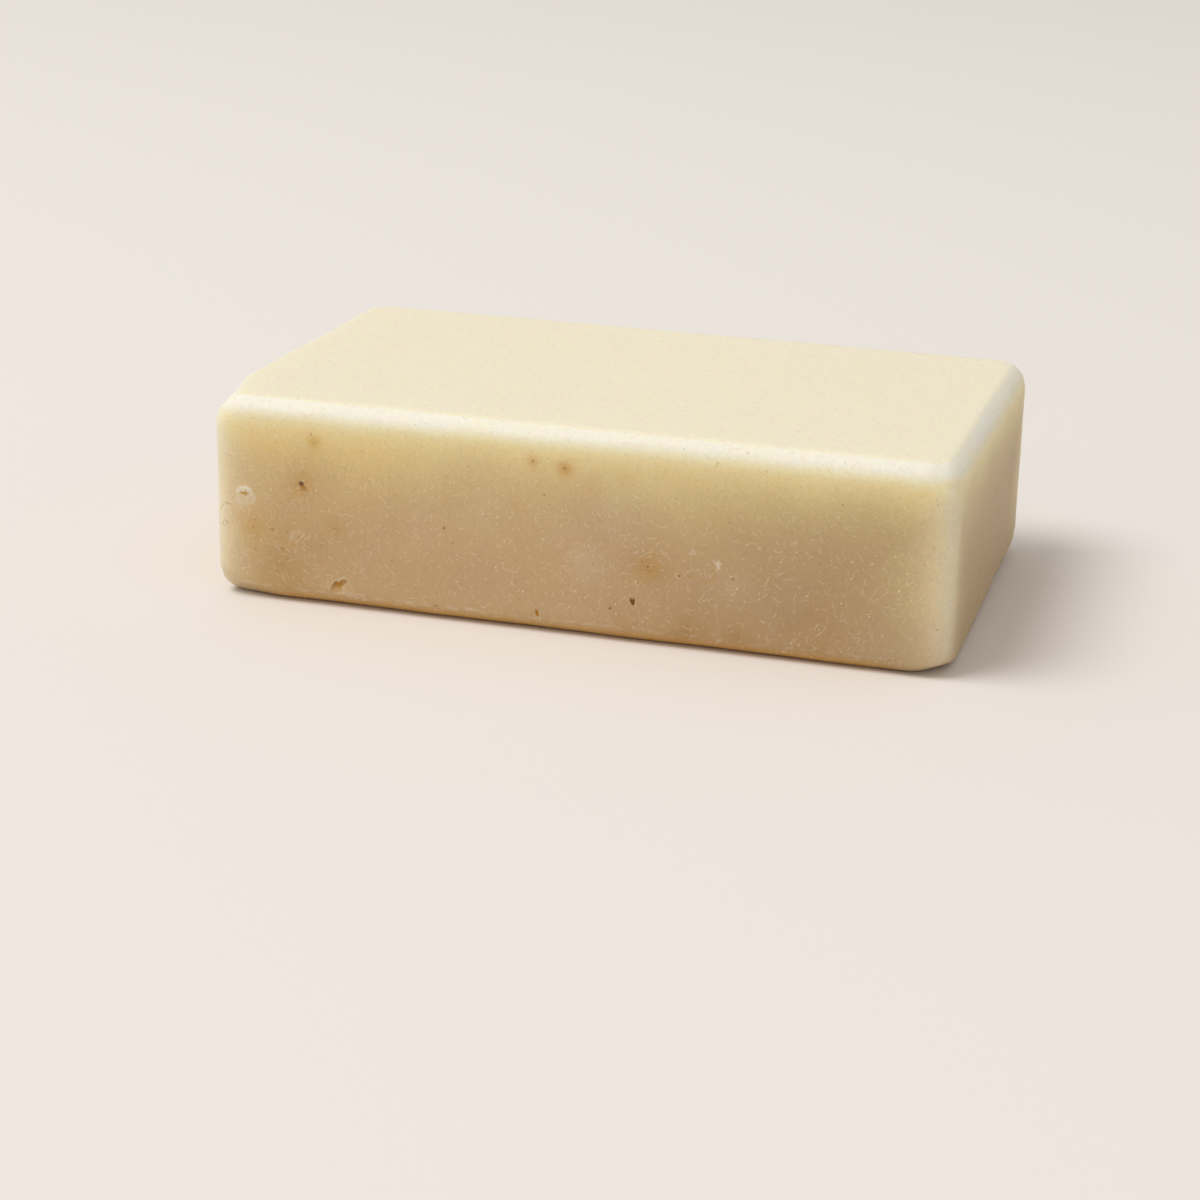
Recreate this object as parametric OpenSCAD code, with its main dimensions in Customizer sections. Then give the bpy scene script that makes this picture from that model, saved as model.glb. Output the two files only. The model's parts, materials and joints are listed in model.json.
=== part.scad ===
// Bar of soap, cut from a block by hand, with a bevel planed along every edge.
// The bevel of the left end's top edge is cut deeper where it meets the front face.
// It lies on its broad face. The front face carries a pit, a chip and two small nicks.
// Lengths are in millimetres. The origin is the middle of the base, with +Z up.

/* [Bar] */
// Length of the bar, from end to end
bar_l = 100; // [70:1:140]
// Width of the bar, from front to back
bar_w = 58; // [40:1:80]
// Height of the bar as it lies
bar_h = 28; // [24:1:40]

/* [Planed edges] */
// How far the bevel reaches in from the edges of the top and the base
bevel = 1.8; // [1.2:0.1:2.6]
// How far the narrower bevel reaches in from the four upright edges
upright_bevel = 1.3; // [0.8:0.1:1.8]
// Radius worn on the two ridges of each bevel
ridge_r = 0.8; // [0.4:0.1:1.2]
// How far from each corner its rounding starts
corner_in = 4.4; // [4:0.1:6]
// How far in the left end's top bevel was cut at the front face
facet_leg = 3.2; // [2.8:0.1:4]
// Length of that deeper cut along the left end
facet_run = 6.5; // [5:0.5:12]

/* [Pit] */
// Distance of the pit from the left end
pit_from_end = 4.75; // [4.2:0.05:8]
// Height of the pit above the base
pit_up = 14.6; // [10:0.1:18]
// Width of the crumbled dish around the pit
pit_dish_d = 2.4; // [2:0.1:2.8]
// Depth of the crumbled dish
pit_dish_depth = 0.2; // [0.1:0.05:0.3]
// Width of the star-shaped hole, over its points
pit_hole_d = 1.5; // [0.8:0.1:1.8]
// Depth of the star-shaped hole below the face
pit_hole_depth = 0.5; // [0.4:0.1:1]

/* [Chip] */
// Distance from the left end to the notch between the chip's two lobes
chip_from_end = 18; // [12:0.1:30]
// How far above the front bevel the left lobe reaches
chip_left_up = 2.1; // [1.6:0.1:3]
// Width of the left lobe, which runs out over the bevel
chip_left_w = 1.3; // [1:0.1:1.8]
// How far above the front bevel the right lobe reaches
chip_right_up = 2.4; // [1.8:0.1:3.2]
// Width of the right lobe
chip_right_w = 1.25; // [0.8:0.05:1.6]
// Height of the right lobe
chip_right_h = 1.1; // [0.9:0.1:1.4]
// Depth of the left lobe under its arch
chip_left_depth = 0.8; // [0.5:0.1:1]
// Depth of the right lobe under its arch
chip_right_depth = 0.5; // [0.3:0.1:0.8]

/* [Nicks] */
// Distance of the curved nick from the left end
curved_from_end = 12.4; // [11.8:0.1:16]
// Height of the curved nick above the base
curved_up = 9.3; // [8:0.1:12]
// Width of the curved nick
curved_w = 1.3; // [1:0.1:1.8]
// Depth of the curved nick under its arch
curved_depth = 0.3; // [0.2:0.05:0.5]
// Distance of the three-cornered nick from the left end
corner_nick_from_end = 10; // [8:0.1:10.5]
// Height of the three-cornered nick above the base
corner_nick_up = 7.5; // [5.6:0.1:8]
// Width of the three-cornered nick
corner_nick_d = 0.8; // [0.6:0.1:1.2]
// Depth of the three-cornered nick
corner_nick_depth = 0.35; // [0.2:0.05:0.5]

/* [Hidden] */

// Length by which every cut stands clear of the bar
clear = 1;
// Angle between a face and the bevel beside it
bevel_angle = 45;
// Flats along the worn arc of one ridge
ridge_steps = 3;
// Length that a worn ridge takes from the face beside it
ridge_run = ridge_r * tan(bevel_angle / 2);
// The ball that rounds a corner meets the ridges of the narrowest bevel where the rounding starts
corner_ball_r = sqrt(pow(corner_in, 2) + pow(corner_in - min(bevel, upright_bevel), 2));
// Turn of the deeper cut at the top left, which fades into the plain bevel
facet_turn = atan((facet_leg - bevel) / facet_run);
// Points of the star-shaped hole, their turn, and its waist as a share of its width
star_points = 5;
star_turn = 12;
star_waist = 0.55;
// Height of the star-shaped hole as a share of its width
star_height = 0.7;
// How far below the ridge of the bevel the left lobe's floor comes to the surface
chip_run_out = 0.5;
// How far the two lobes of the chip overlap
lobe_overlap = 0.12;
// The curved nick is deepest at its lower right, and the other has a corner at its left
curved_turn = 130;
corner_nick_turn = 170;
// Flats of the balls and arcs, which stand for true round shapes
ball_steps = 96;
arc_steps = 48;

soap_colour = [0.93, 0.87, 0.68];

// One corner of a bevelled outline, from its right side round to its top side
function worn_corner(x, y, leg) = concat(
    [for (i = [0 : ridge_steps])
        let (a = bevel_angle * i / ridge_steps)
        [x - ridge_r + ridge_r * cos(a), y - leg - ridge_run + ridge_r * sin(a)]],
    [for (i = [0 : ridge_steps])
        let (a = 90 - bevel_angle + bevel_angle * i / ridge_steps)
        [x - leg - ridge_run + ridge_r * cos(a), y - ridge_r + ridge_r * sin(a)]]
);

// The same corner mirrored to another side of the outline, and taken in reverse order
function mirrored(points, sx, sy) = [for (p = points) [p[0] * sx, p[1] * sy]];
function reversed(points) = [for (i = [len(points) - 1 : -1 : 0]) points[i]];

// A rectangle with bevelled corners, about its own middle
module bevelled_outline(w, h, leg) {
    corner = worn_corner(w / 2, h / 2, leg);
    polygon(concat(
        corner,
        reversed(mirrored(corner, -1, 1)),
        mirrored(corner, -1, -1),
        reversed(mirrored(corner, 1, -1))
    ));
}

// The bar with its edges planed: what its plan, front view and end view have in common
module planed_block() {
    intersection() {
        translate([0, 0, -bar_h / 2])
            linear_extrude(height = bar_h)
                bevelled_outline(bar_l, bar_w, upright_bevel);
        translate([0, bar_w / 2, 0])
            rotate([90, 0, 0])
                linear_extrude(height = bar_w)
                    bevelled_outline(bar_l, bar_h, bevel);
        translate([-bar_l / 2, 0, 0])
            rotate([90, 0, 90])
                linear_extrude(height = bar_l)
                    bevelled_outline(bar_w, bar_h, bevel);
    }
}

// What handling has worn off one corner
module corner_cut() {
    translate([bar_l / 2 - corner_in, bar_w / 2 - corner_in, bar_h / 2 - corner_in])
        difference() {
            cube(corner_in + clear);
            sphere(r = corner_ball_r, $fn = ball_steps);
        }
}

// The deeper cut over the left end's top edge: broad at the front face, gone further back
module facet_cut() {
    translate([-bar_l / 2 + facet_leg, -bar_w / 2, bar_h])
        rotate([0, 0, facet_turn])
            rotate([0, -bevel_angle, 0])
                translate([-facet_run, -facet_run, 0])
                    cube([2 * facet_run, 3 * facet_run, facet_run]);
}

// The planed bar with its eight corners worn round
module worn_block() {
    translate([0, 0, bar_h / 2])
        difference() {
            planed_block();
            for (sx = [0, 1], sy = [0, 1], sz = [0, 1])
                mirror([sx, 0, 0])
                    mirror([0, sy, 0])
                        mirror([0, 0, sz])
                            corner_cut();
        }
}

// Puts a mark on the front face, with its own +Z pointing into the bar and its +Y down
module on_front(from_end, up) {
    translate([from_end - bar_l / 2, -bar_w / 2, up])
        rotate([-90, 0, 0])
            children();
}

// A shallow dish with a round rim
module dish_cut(d, depth) {
    ball_r = (d * d / 4 + depth * depth) / (2 * depth);
    translate([0, 0, depth - ball_r])
        sphere(r = ball_r, $fn = ball_steps);
}

// A hole like a worn star, with a flat floor
module star_cut(d, depth) {
    translate([0, 0, -clear])
        linear_extrude(height = clear + depth)
            polygon([for (i = [0 : 2 * star_points - 1])
                let (
                    r = d / 2 * (i % 2 == 0 ? 1 : star_waist),
                    a = 180 * i / star_points + star_turn
                )
                [r * cos(a), r * sin(a) * star_height]]);
}

// A scoop: its arch stands at the origin, and its floor rises to the surface below it
module scoop_cut(w, h, depth) {
    intersection() {
        translate([0, 0, -clear])
            linear_extrude(height = 2 * clear)
                union() {
                    translate([0, w / 2])
                        circle(d = w, $fn = arc_steps);
                    translate([-w / 2, w / 2])
                        square([w, h]);
                }
        translate([0, h, 0])
            rotate([-atan(depth / h), 0, 0])
                translate([-w, -2 * h, -3 * clear])
                    cube([2 * w, 4 * h, 3 * clear]);
    }
}

// The pit near the left end: a crumbled dish with a star-shaped hole in it
module pit() {
    on_front(pit_from_end, pit_up) {
        dish_cut(pit_dish_d, pit_dish_depth);
        star_cut(pit_hole_d, pit_hole_depth);
    }
}

// The chip over the front bevel, in two lobes with a notch between them
module chip() {
    left_at = chip_from_end - chip_left_w / 2 + lobe_overlap;
    right_at = chip_from_end + chip_right_w / 2 - lobe_overlap;
    on_front(left_at, bevel + chip_left_up)
        scoop_cut(chip_left_w, chip_left_up + chip_run_out, chip_left_depth);
    on_front(right_at, bevel + chip_right_up)
        scoop_cut(chip_right_w, chip_right_h, chip_right_depth);
}

// The curved nick and the three-cornered one between the pit and the chip
module nicks() {
    on_front(curved_from_end, curved_up)
        rotate([0, 0, curved_turn])
            translate([0, -curved_w / 2, 0])
                scoop_cut(curved_w, curved_w, curved_depth);
    on_front(corner_nick_from_end, corner_nick_up)
        rotate([0, 0, corner_nick_turn])
            translate([0, 0, -clear])
                cylinder(h = clear + corner_nick_depth, d = corner_nick_d, $fn = 3);
}

module soap_bar() {
    color(soap_colour)
        difference() {
            worn_block();
            facet_cut();
            pit();
            chip();
            nicks();
        }
}

soap_bar();
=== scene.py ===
import json
import math
import random

import bmesh
import bpy
import numpy as np
from bpy.props import FloatProperty, FloatVectorProperty, IntProperty, PointerProperty
from mathutils import Matrix, Vector, noise

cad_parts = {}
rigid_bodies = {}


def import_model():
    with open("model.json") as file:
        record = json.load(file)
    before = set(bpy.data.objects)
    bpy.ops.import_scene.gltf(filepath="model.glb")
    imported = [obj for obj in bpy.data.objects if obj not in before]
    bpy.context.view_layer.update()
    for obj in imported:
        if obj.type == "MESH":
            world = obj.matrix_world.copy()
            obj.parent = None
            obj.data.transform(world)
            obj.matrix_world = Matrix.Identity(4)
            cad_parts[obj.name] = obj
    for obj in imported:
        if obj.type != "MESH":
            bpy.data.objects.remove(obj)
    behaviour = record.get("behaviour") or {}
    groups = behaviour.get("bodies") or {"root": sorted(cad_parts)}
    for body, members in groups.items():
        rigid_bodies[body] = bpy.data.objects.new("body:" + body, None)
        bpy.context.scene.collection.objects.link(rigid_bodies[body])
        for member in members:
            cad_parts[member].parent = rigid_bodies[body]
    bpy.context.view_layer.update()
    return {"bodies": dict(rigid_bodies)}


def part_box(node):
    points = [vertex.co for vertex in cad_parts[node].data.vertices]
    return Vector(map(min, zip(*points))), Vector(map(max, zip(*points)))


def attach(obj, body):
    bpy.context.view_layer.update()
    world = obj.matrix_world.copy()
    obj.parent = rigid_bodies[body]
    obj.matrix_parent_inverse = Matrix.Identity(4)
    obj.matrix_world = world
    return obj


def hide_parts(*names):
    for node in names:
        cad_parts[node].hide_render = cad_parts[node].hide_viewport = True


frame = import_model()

bl_info = {
    "name": "Hand-cut bar of soap",
    "version": (1, 0, 0),
    "blender": (4, 5, 0),
    "location": "View3D > Sidebar > Soap",
    "description": "Builds a planed and worn bar of soap round its CAD solid, with a plain stage",
    "category": "Object",
}

# Lengths in this file are in millimetres and turn into metres when a mesh is written.
MM = 0.001
BAR_NODE = "soap_bar"
BAR_PIECE = "worn_soap_bar"
BODY = next(iter(frame["bodies"]))

LOW, HIGH = (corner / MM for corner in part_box(BAR_NODE))
SIZE = HIGH - LOW
MIDDLE = (LOW + HIGH) / 2
FRONT = LOW.y


# Marks on the front face. Every place is given as x and the height z above the base.

# The pit: a ragged star-shaped hole, the whitish ring round it, and the pale smear and streak under it
PIT_AT = (-45.25, 14.65)
PIT_HOLE = [
    (-46.06, 14.59), (-45.86, 14.76), (-45.74, 14.96), (-45.56, 14.86), (-45.38, 14.92), (-45.20, 15.00),
    (-45.06, 15.24), (-44.95, 14.95), (-44.78, 14.80), (-44.56, 14.74), (-44.64, 14.52), (-44.90, 14.38),
    (-45.15, 14.26), (-45.42, 14.44), (-45.76, 14.50),
]
PIT_SMEAR = [
    (-46.60, 14.30), (-46.70, 13.60), (-46.40, 13.10), (-45.70, 12.95), (-44.90, 12.95), (-44.30, 13.30),
    (-43.95, 13.80), (-43.90, 14.35), (-44.40, 14.60), (-45.30, 14.40), (-46.10, 14.50),
]
PIT_STREAK = [(-44.75, 14.35), (-43.95, 14.75), (-43.75, 14.20), (-44.25, 13.50)]
PIT_CRUMBS = [
    (-46.02, 14.92, 0.20), (-45.72, 15.30, 0.16), (-45.40, 15.42, 0.15), (-44.98, 15.50, 0.24),
    (-44.72, 15.00, 0.17), (-44.42, 15.20, 0.19), (-45.38, 15.06, 0.11), (-44.70, 15.36, 0.12),
]

# The chip: two lobes broken out over the bottom bevel, deepest under the cusp between them
CHIP_AT = (-32.0, 3.0)
CHIP_EDGE = [
    (-33.30, 1.90), (-33.14, 3.00), (-32.87, 3.38), (-32.62, 3.68), (-32.40, 3.84), (-32.22, 3.76),
    (-32.03, 3.62), (-31.92, 3.74), (-31.66, 4.06), (-31.34, 4.22), (-31.00, 4.22), (-30.74, 4.06),
    (-30.86, 3.66), (-31.20, 3.30), (-31.52, 2.95), (-31.66, 2.40), (-31.70, 1.90),
]

# The curved nick with its pale flake, and the three-cornered nick
FLAKE_AT = (-37.9, 9.4)
FLAKE_EDGE = [
    (-39.05, 8.55), (-38.50, 9.90), (-37.40, 10.35), (-36.80, 9.90), (-37.20, 9.40), (-37.65, 8.92),
]
FLAKE_GROOVE = [(-38.00, 9.00), (-37.80, 9.08), (-37.55, 9.36), (-37.30, 9.62)]
CORNER_NICK_AT = (-39.95, 7.5)
CORNER_NICK_EDGE = [(-40.42, 7.80), (-39.55, 7.58), (-40.00, 7.14)]

# A star-shaped scuff to the right of the middle
SCUFF_AT = (19.6, 12.1)
SCUFF_EDGE = [
    (19.16, 12.76), (19.66, 12.46), (19.93, 12.50), (20.13, 12.80), (20.18, 12.50), (20.46, 12.24),
    (20.14, 11.94), (20.27, 11.34), (20.01, 11.61), (19.76, 11.15), (19.79, 11.80),
]

# Fine raised and sunken lines: points, half width, height, paleness
LINES = [
    # Cracks over the left end's upright bevel
    ([(-49.15, 11.7), (-48.7, 12.5), (-48.15, 13.1), (-47.3, 12.9)], 0.08, -0.10, 0.0),
    ([(-47.3, 12.9), (-47.05, 12.4), (-46.9, 11.8)], 0.08, -0.03, 0.0),
    ([(-48.35, 10.8), (-48.0, 10.45), (-47.7, 10.05)], 0.07, -0.09, 0.0),
    ([(-48.9, 9.75), (-48.3, 10.5)], 0.06, -0.07, 0.0),
    # Rim of the chip, with folds left and right of it
    (
        [(-33.27, 2.9), (-32.66, 3.80), (-32.3, 4.0), (-31.94, 4.02), (-31.22, 4.45), (-30.51, 4.18)],
        0.11, 0.05, 0.38,
    ),
    ([(-30.51, 4.18), (-30.28, 3.55), (-29.99, 2.64)], 0.12, 0.04, 0.25),
    ([(-33.44, 3.6), (-33.60, 3.0), (-33.94, 2.3)], 0.11, 0.05, 0.32),
    ([(-32.96, 3.4), (-33.30, 2.8), (-33.52, 2.2)], 0.10, 0.05, 0.30),
    ([(-31.42, 3.0), (-31.07, 2.46)], 0.08, 0.06, 0.5),
    ([(-31.12, 3.04), (-30.59, 2.57)], 0.08, 0.05, 0.4),
    # Burrs along the bottom ridge
    ([(-31.37, 2.42), (-29.88, 2.34), (-28.39, 2.22)], 0.11, 0.07, 0.5),
    ([(-31.07, 2.1), (-30.0, 1.94), (-28.69, 1.88)], 0.11, 0.07, 0.5),
    ([(-35.2, 2.1), (-34.1, 2.0)], 0.10, 0.04, 0.4),
    # Lip of the curved nick and edges of the three-cornered one
    ([(-38.13, 8.69), (-37.61, 8.93), (-37.22, 9.41), (-36.77, 9.89)], 0.11, 0.06, 0.5),
    ([(-38.92, 8.62), (-38.60, 9.30), (-38.38, 9.95)], 0.26, 0.03, 0.26),
    ([(-40.95, 7.9), (-40.26, 7.21)], 0.10, 0.05, 0.32),
    ([(-40.4, 7.95), (-39.7, 7.7)], 0.10, 0.04, 0.28),
    ([(-39.5, 7.6), (-38.99, 7.23)], 0.10, 0.04, 0.28),
    ([(-37.26, 7.99), (-36.69, 7.68)], 0.08, 0.03, 0.5),
    # Scratches near the top left
    ([(-40.5, 23.1), (-39.9, 23.4), (-39.2, 23.1)], 0.10, 0.05, 0.5),
    ([(-38.1, 22.7), (-37.8, 22.4), (-37.5, 22.7)], 0.09, 0.05, 0.5),
    ([(-37.3, 22.0), (-36.7, 22.4), (-36.0, 22.3)], 0.09, 0.05, 0.5),
    # Long folds between the marks on the left
    ([(-38.3, 13.9), (-37.4, 14.4), (-36.8, 15.2), (-36.5, 15.8)], 0.10, 0.05, 0.35),
    ([(-42.4, 15.1), (-41.9, 14.4), (-41.6, 14.3)], 0.08, 0.04, 0.35),
    ([(-36.1, 16.2), (-35.7, 15.4), (-35.6, 16.4)], 0.08, 0.04, 0.3),
    ([(-43.5, 5.7), (-42.7, 5.2), (-41.9, 4.5), (-41.3, 4.6), (-41.0, 5.4)], 0.09, 0.04, 0.3),
    ([(-40.6, 3.6), (-39.7, 4.1), (-39.2, 4.7)], 0.09, 0.05, 0.35),
    ([(-27.2, 18.4), (-26.2, 17.3), (-25.8, 16.1)], 0.08, 0.03, 0.3),
    # Outline of a small three-cornered scuff, and folds round the star-shaped one
    ([(16.60, 13.76), (17.00, 13.18), (16.19, 12.99), (16.60, 13.76)], 0.11, 0.03, 0.55),
    ([(12.30, 13.30), (13.17, 12.50), (13.92, 11.49)], 0.08, 0.03, 0.3),
    (
        [(15.70, 10.33), (16.85, 9.95), (18.03, 9.60), (19.10, 9.75), (19.55, 10.3), (19.55, 11.0)],
        0.08, -0.05, 0.0,
    ),
]

# Flecks: x, z, half length, half width, turn in degrees, strength, kind
FLECKS = [
    (-37.05, 16.85, 0.46, 0.40, 50, 0.97, "grey"),
    (-36.75, 16.30, 0.62, 0.46, 35, 0.70, "orange"),
    (-47.75, 13.15, 0.26, 0.08, 38, 0.60, "grey"),
    (-48.85, 12.40, 0.42, 0.06, -60, 0.45, "grey"),
    (-47.95, 10.40, 0.36, 0.07, 44, 0.60, "grey"),
    (-48.60, 10.20, 0.30, 0.06, -48, 0.35, "grey"),
    (8.66, 5.80, 0.66, 0.23, 67, 1.00, "brown"),
    (8.93, 5.90, 0.50, 0.19, 88, 1.00, "brown"),
    (8.80, 5.72, 0.46, 0.29, 76, 1.00, "brown"),
    (-4.15, 2.75, 0.68, 0.25, 74, 1.00, "golden"),
    (5.80, 4.60, 0.22, 0.17, -40, 0.75, "brown"),
    (-17.03, 12.92, 0.30, 0.17, 75, 0.85, "golden"),
    (-43.83, 6.87, 0.26, 0.15, 40, 0.60, "golden"),
    (-41.42, 10.09, 0.19, 0.18, 0, 0.85, "golden"),
    (-44.17, 10.07, 0.19, 0.17, 0, 0.50, "golden"),
    (-39.26, 9.91, 0.17, 0.15, 0, 0.45, "grey"),
    (-46.28, 10.82, 0.17, 0.15, 0, 0.25, "golden"),
    (-44.83, 10.92, 0.17, 0.15, 0, 0.30, "golden"),
    (-43.86, 11.18, 0.17, 0.16, 0, 0.40, "golden"),
    (-40.01, 13.94, 0.20, 0.17, 0, 0.35, "golden"),
    (-39.71, 15.54, 0.18, 0.16, 0, 0.30, "golden"),
    (-43.63, 9.06, 0.20, 0.15, 40, 0.22, "golden"),
    (-35.13, 22.63, 0.17, 0.15, 0, 0.45, "golden"),
    (-0.60, 22.75, 0.24, 0.19, 0, 0.70, "golden"),
    (-4.90, 23.26, 0.20, 0.18, 0, 0.60, "golden"),
    (-3.24, 18.89, 0.17, 0.15, 0, 0.70, "grey"),
    (10.70, 10.87, 0.22, 0.19, 0, 0.60, "brown"),
    (10.72, 10.34, 0.22, 0.20, 0, 0.35, "golden"),
    (9.90, 11.40, 0.20, 0.18, 0, 0.30, "grey"),
    (14.84, 10.00, 0.18, 0.16, 0, 0.70, "grey"),
    (21.93, 10.42, 0.18, 0.16, 0, 0.60, "grey"),
    (-32.37, 11.09, 0.17, 0.15, 0, 0.50, "golden"),
    (-24.34, 7.55, 0.17, 0.15, 0, 0.55, "grey"),
    (-18.18, 1.99, 0.20, 0.16, 0, 0.60, "brown"),
    (-15.79, 11.00, 0.17, 0.15, 0, 0.50, "grey"),
]

# Stains round flecks and in the chip's corner: x, z, radius, strength
STAINS = [
    (-37.00, 16.60, 2.2, 0.42), (-36.80, 16.30, 1.0, 0.50), (-44.20, 10.10, 2.9, 0.34),
    (-45.40, 11.00, 2.2, 0.20), (-35.10, 22.80, 1.3, 0.42), (-4.90, 23.20, 1.1, 0.44),
    (-0.60, 22.70, 1.4, 0.62), (10.90, 10.60, 2.1, 0.34), (10.40, 10.80, 0.9, 0.42),
    (-32.40, 10.90, 1.6, 0.18), (-24.00, 12.50, 2.0, 0.08), (3.00, 20.50, 1.8, 0.14),
    (-39.30, 8.50, 0.5, 0.40), (-38.70, 8.47, 0.4, 0.35), (-41.42, 10.09, 0.5, 0.30),
    (7.80, 22.00, 1.6, 0.12),
]

# Darker brown patches and paler patches on the front face: x, z, radius, strength. The dark ones are partly
# brown clouds in the soap and partly painted shade along the bottom edge; the pale ones are partly paler
# clouds and partly painted light near the upper left edge.
DARK_CLOUDS_AND_SHADE = [
    (-40.0, 4.0, 6.0, 0.36), (-40.0, 9.5, 4.0, 0.16), (-35.5, 8.0, 4.5, 0.16), (-36.0, 18.0, 4.5, 0.16),
    (-31.8, 11.0, 3.0, 0.14), (10.8, 10.4, 3.8, 0.19), (8.5, 2.0, 5.0, 0.22), (16.0, 2.0, 5.5, 0.40),
    (23.0, 2.0, 5.0, 0.30), (32.0, 4.0, 6.0, 0.25),
]
# Pale patches: partly paler clouds in the soap, partly painted light near the upper left edge.
PALE_CLOUDS_AND_LIGHT = [
    (2.5, 10.5, 4.0, 0.13), (-20.0, 13.0, 5.0, 0.06), (-12.0, 15.5, 5.0, 0.06), (22.0, 9.5, 3.6, 0.07),
    (-1.5, 14.5, 4.0, 0.06), (-46.5, 17.5, 5.0, 0.12), (-46.5, 24.5, 3.0, 0.22), (5.0, 17.0, 6.0, 0.06),
]


def smoothstep(low, high, value):
    """0 below low, 1 above high and a smooth rise between them."""
    t = np.clip((value - low) / (high - low), 0.0, 1.0)
    return t * t * (3.0 - 2.0 * t)


def smooth_max(a, b, wear):
    """The larger of a and b, with the ridge between them worn over the length wear."""
    near = np.clip(wear - np.abs(a - b), 0.0, None) / wear
    return np.maximum(a, b) + near * near * wear / 4.0


def grain(points, size, seed=0):
    """Smooth noise from -1 to 1 at each point, with lumps of about the given size."""
    shift = Vector((seed * 17.3, seed * 5.1, seed * 11.7))
    return np.array([noise.noise(Vector(p) / size + shift) for p in points])


def line_distance(x, z, points):
    """Distance of each place (x, z) from a broken line."""
    found = np.full(len(x), 1e3)
    for (x0, z0), (x1, z1) in zip(points, points[1:]):
        dx, dz = x1 - x0, z1 - z0
        along = np.clip(((x - x0) * dx + (z - z0) * dz) / (dx * dx + dz * dz), 0.0, 1.0)
        found = np.minimum(found, np.hypot(x - x0 - along * dx, z - z0 - along * dz))
    return found


def bevel_legs(points, shape):
    """Width of the bevel near each point: on the ends, on the long sides and upright."""
    x, y = points[:, 0] - MIDDLE.x, points[:, 1] - MIDDLE.y
    top, left = points[:, 2] > MIDDLE.z, x < 0
    from_front = SIZE.y / 2 + y
    drift = shape.bevel_change * grain(points, 16.0, 3)
    # The left end's top bevel is broad at the front, narrow further back and plain again behind
    tapered = np.interp(from_front, (0, 3, 6, 9, 12, 16, 34), (2.7, 2.6, 2.2, 1.3, 0.3, 0.4, 1.6))
    end_leg = np.where(top & left, tapered, shape.bevel + drift * 0.5)
    # The right end's bottom bevel is narrow at the front and widens slowly towards the back
    narrow = 0.4 + 1.4 * smoothstep(8.0, 44.0, from_front)
    end_leg = np.where(top | left, end_leg, narrow)
    # The long sides' bottom bevels widen by a millimetre towards the left end
    widened = smoothstep(40.0, 48.0, -x)
    side_leg = shape.bevel + drift + np.where(top, 0.0, widened)
    upright_leg = shape.upright_bevel + drift * 0.4
    return end_leg, side_leg, upright_leg


def outline_distance(x, z, corners):
    """Distance of each place (x, z) from a closed outline, negative inside it."""
    closed = corners + corners[:1]
    inside = np.zeros(len(x), bool)
    for (x0, z0), (x1, z1) in zip(closed, closed[1:]):
        if z0 != z1:
            inside ^= ((z0 > z) != (z1 > z)) & (x < x0 + (z - z0) * (x1 - x0) / (z1 - z0))
    away = line_distance(x, z, closed)
    return np.where(inside, -away, away)


def worn_surface(points, shape, uneven, end_leg, side_leg, upright_leg, wear_change):
    """How far each point stands outside the planed and worn bar: 0 on its surface."""
    reach = np.array(SIZE) / 2
    q = np.abs(points - np.array(MIDDLE)) - reach
    top = points[:, 2] > MIDDLE.z
    root = math.sqrt(2.0)
    ends, sides, flats = q[:, 0], q[:, 1], q[:, 2]
    upright = (ends + sides + upright_leg) / root
    end_flat = (ends + flats + end_leg) / root
    side_flat = (sides + flats + side_leg) / root
    soft = shape.soft_wear * wear_change
    ridge = shape.ridge_wear * wear_change
    crisp = np.where(top, shape.crisp_wear, shape.ridge_wear) * wear_change
    walls = smooth_max(ends, sides, soft)
    walls = smooth_max(walls, upright, soft)
    planed = smooth_max(end_flat, side_flat, ridge)
    body = smooth_max(walls, planed, ridge)
    body = smooth_max(body, flats, crisp)
    inset = shape.corner_in
    ball_r = math.hypot(inset, inset - shape.bevel) + shape.corner_slack
    past = np.clip(q + inset, 0.0, None)
    by_corner = smoothstep(0.0, 1.6, past.min(axis=1))
    ball = np.linalg.norm(past, axis=1) - ball_r - 1.2 * (1.0 - by_corner)
    body = smooth_max(body, ball, 1.9 * ridge)
    # One facet worn off the corner at the front, right and bottom
    facet = (points - np.array((45.9, FRONT + 1.0, 0.45))) @ np.array((0.42, -0.30, -0.86))
    return smooth_max(body, facet, soft) + uneven


def wear_points(points, shape):
    """Moves points on to the worn surface of the bar, and returns them."""
    uneven = shape.unevenness * (0.5 + 0.5 * grain(points, 14.0, 1))
    uneven += shape.unevenness * 0.3 * (0.5 + 0.5 * grain(points, 4.5, 2))
    uneven *= smoothstep(0.0, 6.0, points[:, 2] - LOW.z)
    legs = bevel_legs(points, shape)
    wear_change = 1.0 + 0.35 * grain(points, 7.0, 4)
    step = 0.01
    for _ in range(4):
        value = worn_surface(points, shape, uneven, *legs, wear_change)
        slope = np.zeros_like(points)
        for axis in range(3):
            nudge = np.zeros(3)
            nudge[axis] = step
            slope[:, axis] = (
                worn_surface(points + nudge, shape, uneven, *legs, wear_change)
                - worn_surface(points - nudge, shape, uneven, *legs, wear_change)
            ) / (2 * step)
        slope /= np.maximum(np.linalg.norm(slope, axis=1), 0.5)[:, None] ** 2
        points = points - slope * value[:, None]
    return points


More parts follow.
